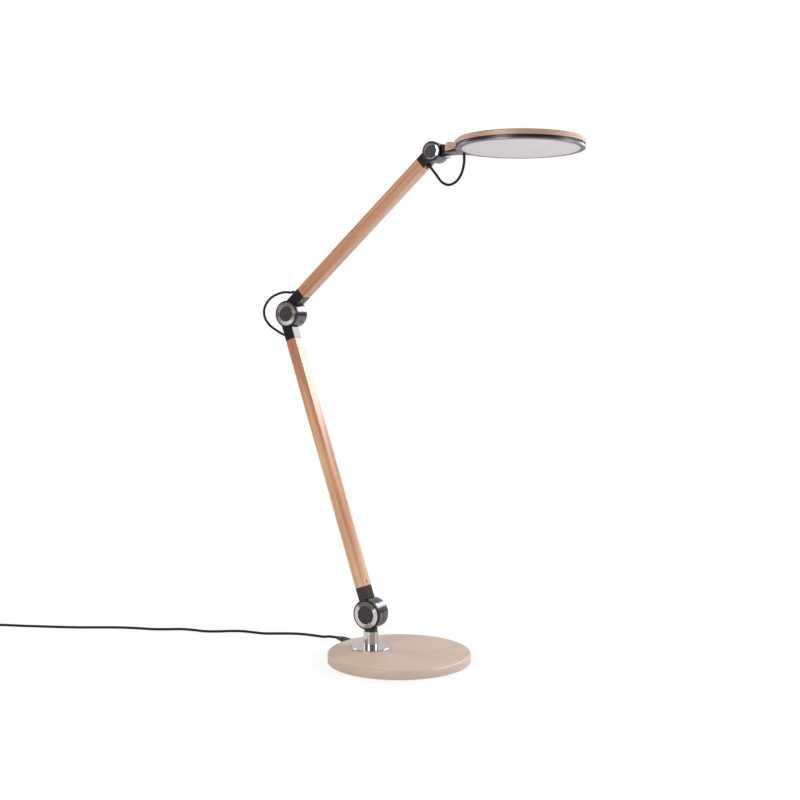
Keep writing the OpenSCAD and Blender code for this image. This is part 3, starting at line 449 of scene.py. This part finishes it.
plain_steel = mottled("plain_steel", "77757a", "8b898e", 6 * MM, 0.4 * MM, 0.01 * MM, (0.28, 0.42),
                      Metallic=1.0)
cast_iron = mottled("cast_ballast", "4a4a4c", "5c5b5d", 12 * MM, 1.2 * MM, 0.1 * MM, (0.55, 0.75),
                    Metallic=0.6)
bezel_grey_and_painted_shade = mottled("grey_bezel_coat_with_painted_shade", "645e69", "726c78", 25 * MM, 0.8 * MM, 0.0, (0.3, 0.42),
                     Metallic=0.35)
moulded_black = mottled("moulded_black", "1b1819", "242021", 10 * MM, 0.6 * MM, 0.02 * MM, (0.4, 0.55))
hatched_black = mottled("hatched_black_centre", "1e1a1d", "272226", 8 * MM, 0.4 * MM, 0.0, (0.36, 0.48))
rubber = mottled("soft_black_rubber", "121112", "191819", 12 * MM, 0.5 * MM, 0.015 * MM, (0.5, 0.65),
                 Specular_IOR_Level=0.2)
circuit = mottled("green_board", "255a3d", "327150", 6 * MM, 0.8 * MM, 0.02 * MM, (0.35, 0.5))
opal = mottled("opal_panel", "c9c5cd", "d0ccd3", 30 * MM, 0.8 * MM, 0.004 * MM, (0.4, 0.5))
clear_guide = mottled("clear_light_guide", "e2e0e6", "ecebef", 30 * MM, 0.8 * MM, 0.005 * MM, (0.1, 0.18))
print("materials in the scene", len(bpy.data.materials))

# %% [markdown]
# ## Hatched centres of the joint caps
# The black centre of each cap is finely hatched. Two crossed sets of straight waves make small diamonds, so
# the hatch is the same on all three caps and needs no mesh.

# %% Hatched centre
HATCH_PITCH = 1.1 * MM
HATCH_DEPTH = 0.25 * MM
HATCH_STRENGTH = 0.8
HATCH_LEAN = math.radians(45)

waves = []
for lean in (HATCH_LEAN, -HATCH_LEAN):
    inputs = {"Vector": hatched_black.mapped(turn=(0, lean, 0)), "Scale": 0.5 / HATCH_PITCH / math.pi}
    waves.append(hatched_black.add("ShaderNodeTexWave", inputs).outputs["Fac"])
diamonds = hatched_black.add("ShaderNodeMath", {0: waves[0], 1: waves[1]}, operation="MULTIPLY")
hatched_black.bump(diamonds.outputs["Value"], HATCH_DEPTH, HATCH_STRENGTH)
print("hatch", round(HATCH_PITCH / MM, 2), "mm apart")

# %% [markdown]
# ## Painted shade on the bezel, and dark edges on the joints
# Some finishes change with place. The bezel darkens up its wall towards the shell: painted shade, for the
# shadow in the recess under the shell. On the joints, the front bands have a black edge beside the caps, the
# rings a thin black line around the rim, and the caps are blacker at the edge than in the raised centre. Each
# mixes in a dark tone by the distance along an axis.

# %% Painted shade and dark edges
FRONT = (0, -1, 0)
# Painted shade on the bezel's wall, from the first height to the second.
BEZEL_PAINTED_SHADE = (UNDERSIDE + 1.0 * MM, UNDERSIDE + 1.6 * MM)
BAND_SEAM = (8.5 * MM, 8.6 * MM)
RING_SEAM = (12.33 * MM, 12.29 * MM)
CAP_SEAM = (12.15 * MM, 12.05 * MM)


def darkened(finish, reach, dark_span, code):
    """Mix a dark tone into a finish, from the first place of the span to the second: painted shade on the
    bezel, black edges on the joints.
    """
    plain = finish.shader.inputs["Base Color"].links[0].from_socket
    finish.colour(finish.mixed(finish.ranged(reach, *dark_span), plain, tone(code)))


# Painted shade: the bezel's wall darkens towards the shell, as in the shadow under it.
darkened(bezel_grey_and_painted_shade, bezel_grey_and_painted_shade.reach(head_turn @ Vector((0, 0, 1)), wrist), BEZEL_PAINTED_SHADE, "32272d")
darkened(edged_plate, edged_plate.reach(FRONT), BAND_SEAM, "0c0a0b")
darkened(ring_plate, ring_plate.reach(FRONT), RING_SEAM, "0a0809")
darkened(hatched_black, hatched_black.reach(FRONT), CAP_SEAM, "0a0809")
print("seams on the bezel, bands, rings and caps")

# %% [markdown]
# ## Varnished wood
# Wood is long in one direction. The coordinates are turned until x lies along the bar and squeezed across
# it, so that the same noise gives broad bands of colour and thin dark fibres, under a thin coat of varnish.
# Each bar also grows paler from one end to the other. On the lower bar this is painted light: the end at the
# base is paler for the light thrown up from the floor.

# %% Varnished wood
WOOD_BANDS = (6, 90, 90)
WOOD_FIBRES = (9, 320, 320)
BAND_STOPS = (0.3, 0.5, 0.8)
FIBRE_SHARE = 0.8


def varnished_wood(name, angle, shift, dark_end, pale_end, end_paling_range, tones):
    """Shift moves the bands along the bar. A paling is added to them from the dark end to the pale end; on
    the lower bar it is painted light from the floor.
    """
    finish = Finish(name, Coat_Weight=0.5, Coat_Roughness=0.2, Coat_IOR=1.7)
    along = Vector((math.cos(angle), 0, math.sin(angle)))
    turn = (0, angle, 0)
    bands = finish.noise(finish.mapped(WOOD_BANDS, turn, (shift, 0, 0)), 1.0, detail=2.0)
    fibres = finish.noise(finish.mapped(WOOD_FIBRES, turn), 1.0, detail=2.0)
    drift = finish.ranged(finish.reach(along), along.dot(dark_end), along.dot(pale_end), *end_paling_range)
    shade = finish.add("ShaderNodeMath", {0: bands, 1: drift}, operation="ADD").outputs["Value"]
    band_tone = finish.ramp(shade, *zip(BAND_STOPS, tones))
    fibre_tone = finish.ramp(fibres, (0.35, "dccabd"), (0.6, "ffffff"))
    finish.colour(finish.mixed(FIBRE_SHARE, band_tone, fibre_tone, "MULTIPLY"))
    finish.rough(fibres, 0.5, 0.36)
    print(name, "with", len(finish.tree.nodes), "nodes")
    return finish


# The lower bar's paler end at the base is painted light, for the light from the floor below.
lower_wood = varnished_wood("lower_bar_wood", LOWER_ANGLE, 0.71, elbow, shoulder, (-0.02, 0.28),
                            ("a5714c", "b67c56", "d6b28a"))
upper_wood = varnished_wood("upper_bar_wood", UPPER_ANGLE, 0, elbow, wrist, (-0.07, 0.17),
                            ("a17155", "b38263", "c5987c"))

# %% [markdown]
# ## Softer head
# The light catches the rim of the head first. Copies of its shell and bezel are welded, their flat faces are
# joined again, and the outer edges that meet a level face are rounded over.

# %% Softer head
WELD = 0.01 * MM
FLAT = math.radians(0.5)
CORNER = math.radians(50)
SHARP = math.radians(35)
NEARLY_LEVEL = 0.9
SHELL_ROUND = 1.2 * MM
BEZEL_ROUND = 0.5 * MM


def softened(name, source, level, width, finish):
    """Round over the outward edges of a solid's level faces: level is 1 for its top, -1 for its underside."""
    soft = bmesh.new()
    soft.from_mesh(nodes[source].data)
    bmesh.ops.transform(soft, matrix=nodes[source].matrix_world, verts=soft.verts)
    bmesh.ops.remove_doubles(soft, verts=soft.verts, dist=WELD)
    bmesh.ops.dissolve_limit(soft, angle_limit=FLAT, verts=soft.verts, edges=soft.edges)
    soft.normal_update()
    edges = []
    for edge in soft.edges:
        if len(edge.link_faces) == 2 and edge.calc_face_angle_signed() > CORNER:
            if max(level * face.normal.z for face in edge.link_faces) > NEARLY_LEVEL:
                edges.append(edge)
    bmesh.ops.bevel(soft, geom=edges, offset=width, offset_type="OFFSET", affect="EDGES", segments=3,
                    profile=0.5, material=-1, clamp_overlap=True)
    mesh = bpy.data.meshes.new(name)
    soft.to_mesh(mesh)
    soft.free()
    mesh.materials.append(finish.material)
    for face in mesh.polygons:
        face.use_smooth = True
    mesh.set_sharp_from_angle(angle=SHARP)
    piece = link(name, mesh)
    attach(piece, "head")
    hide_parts(source)
    print(name, len(mesh.polygons), "faces")


softened("soft_head_shell", "head_shell", 1, SHELL_ROUND, rose_metal)
softened("soft_head_bezel", "head_bezel", -1, BEZEL_ROUND, bezel_grey_and_painted_shade)

# %% [markdown]
# ## Finishes on the solids
# The other solids have the right shapes already, so they keep their meshes and only take a finish.

# %% Finishes on the solids
by_finish = [
    (rose_paint, ["base_cover"]),
    (lower_wood, ["lower_bar"]),
    (upper_wood, ["upper_bar"]),
    (black_coat, ["shoulder_knuckle", "lower_foot_fitting", "lower_top_fitting", "upper_foot_fitting",
                  "upper_top_fitting", "head_knuckle", "swivel_washer"]),
    (hatched_black, ["shoulder_cap", "elbow_cap", "head_cap"]),
    (dark_plate, ["shoulder_rear_shell", "elbow_rear_shell", "head_rear_shell", "lower_bar_pins",
                  "upper_bar_pins"]),
    (edged_plate, ["shoulder_front_band", "elbow_front_band", "head_front_band"]),
    (bright_plate, ["post", "post_flange", "adapter_pins"]),
    (ring_plate, ["shoulder_ring", "elbow_ring", "head_ring"]),
    (plain_steel, ["base_screws", "post_nut", "spindle_clip", "shoulder_washer", "elbow_washer",
                   "head_washer", "shoulder_bolt", "elbow_bolt", "head_bolt", "shoulder_nut", "elbow_nut",
                   "head_nut"]),
    (cast_iron, ["ballast_plate"]),
    (opal, ["diffuser"]),
    (clear_guide, ["light_guide"]),
    (circuit, ["led_board", "touch_board"]),
    (moulded_black, ["dc_jack", "dc_plug", "coil_tie", "adapter", "neck_screw"]),
    (rubber, ["foot_pad", "base_lead", "lower_lead", "upper_lead"]),
]
for finish, names in by_finish:
    for name in names:
        nodes[name].data.materials.clear()
        nodes[name].data.materials.append(finish.material)
for lead in leads:
    lead.data.materials.clear()
    lead.data.materials.append(rubber.material)
print("solids dressed:", sum(len(names) for finish, names in by_finish))

# %% [markdown]
# ## Floor
# The lamp stands on a white sweep. The floor shows the camera mostly plain white, and near the base it keeps
# a share of the paper under it, with a faint shadow. The white is for the camera only, so it isn't sampled as
# a source of light.

# %% Floor
FLOOR_SIZE = 12.0
FLOOR_WHITE_SHARE = 0.85
FLOOR_FADE = (0.25, 0.75)
PAPER_COLOUR = (0.9, 0.9, 0.9, 1)

floor_mesh = bmesh.new()
bmesh.ops.create_grid(floor_mesh, x_segments=1, y_segments=1, size=FLOOR_SIZE / 2)
floor_data = bpy.data.meshes.new("floor")
floor_mesh.to_mesh(floor_data)
floor_mesh.free()
floor = link("floor", floor_data)
sweep = Finish("white_sweep", Base_Color=PAPER_COLOUR, Roughness=0.9, Specular_IOR_Level=0.0)
sweep.material.cycles.emission_sampling = "NONE"
away = sweep.add("ShaderNodeVectorMath", {0: sweep.place}, operation="LENGTH").outputs["Value"]
fade = sweep.ranged(away, *FLOOR_FADE, low=FLOOR_WHITE_SHARE)
camera_ray = sweep.add("ShaderNodeLightPath").outputs["Is Camera Ray"]
share = sweep.add("ShaderNodeMath", {0: camera_ray, 1: fade}, operation="MULTIPLY").outputs["Value"]
white = sweep.add("ShaderNodeEmission").outputs["Emission"]
paper = sweep.shader.outputs["BSDF"]
shown = sweep.add("ShaderNodeMixShader", {"Fac": share, 1: paper, 2: white})
sweep.tree.links.new(shown.outputs["Shader"], sweep.tree.nodes["Material Output"].inputs["Surface"])
floor_data.materials.append(sweep.material)
print("floor", FLOOR_SIZE, "m wide")

# %% [markdown]
# ## Lamps
# Four softboxes aim at the middle of the lamp. The one at the right whitens the bars' right faces, the one at
# the back right draws the streaks on the barrels, and the front and left ones fill in.

# %% Lamps
AIM = Vector((0, 0, 0.33))
softboxes = [
    ("back_right_softbox", (0.65, 1.65, 1.25), (0.9, 0.8), 19),
    ("right_softbox", (1.8, 0.85, 1.1), (0.9, 1.4), 25.5),
    ("front_softbox", (-0.2, -2.1, 1.0), (0.8, 0.9), 25),
    ("left_softbox", (-2.0, 0.2, 1.0), (0.6, 1.2), 8.5),
]
for name, place, size, watts in softboxes:
    light = bpy.data.lights.new(name, "AREA")
    light.shape = "RECTANGLE"
    light.size, light.size_y = size
    light.energy = watts
    box = link(name, light)
    box.location = place
    box.rotation_euler = (AIM - Vector(place)).to_track_quat("-Z", "Y").to_euler()
print("softboxes", len(softboxes))

# %% [markdown]
# ## World
# The room is brighter above the horizon and behind the lamp than it is below and behind the camera, where it
# is also warmer, so the polished metal has both light and dark to reflect. The camera sees it plain white.

# %% World
ROOM_LOW = 0.22
ROOM_HIGH = 0.3
ROOM_BACK = 0.75
ROOM_TURN = (-0.3, 0.5)
ROOM_HORIZON = (0.04, 0.16)
ROOM_WARMTH = (1.0, 0.82, 0.72, 1)
WHITE = (1, 1, 1, 1)
VIEW_AXIS = (-math.sin(CAMERA_BEARING), math.cos(CAMERA_BEARING), 0)

world = bpy.data.worlds.new("white_room")
bpy.context.scene.world = world
world.use_nodes = True
tree = world.node_tree


def larger(first, second):
    return shader_node(tree, "ShaderNodeMath", {0: first, 1: second}, operation="MAXIMUM").outputs["Value"]


direction = shader_node(tree, "ShaderNodeTexCoord").outputs["Generated"]
camera_ray = shader_node(tree, "ShaderNodeLightPath").outputs["Is Camera Ray"]
depth = shader_node(tree, "ShaderNodeVectorMath", {0: direction, 1: VIEW_AXIS}, operation="DOT_PRODUCT")
rise = shader_node(tree, "ShaderNodeSeparateXYZ", {"Vector": direction}).outputs["Z"]
behind = range_node(tree, depth.outputs["Value"], *ROOM_TURN)
upper = range_node(tree, behind, 0, 1, ROOM_HIGH, ROOM_BACK)
glow = range_node(tree, rise, *ROOM_HORIZON, ROOM_LOW, upper)
colours = {"Factor": larger(behind, camera_ray), "A": ROOM_WARMTH, "B": WHITE}
tint = shader_node(tree, "ShaderNodeMix", colours, data_type="RGBA")
room = tree.nodes["Background"]
tree.links.new(tint.outputs["Result"], room.inputs["Color"])
tree.links.new(larger(glow, camera_ray), room.inputs["Strength"])
bpy.context.scene.view_settings.view_transform = "Standard"
print("world", world.name)
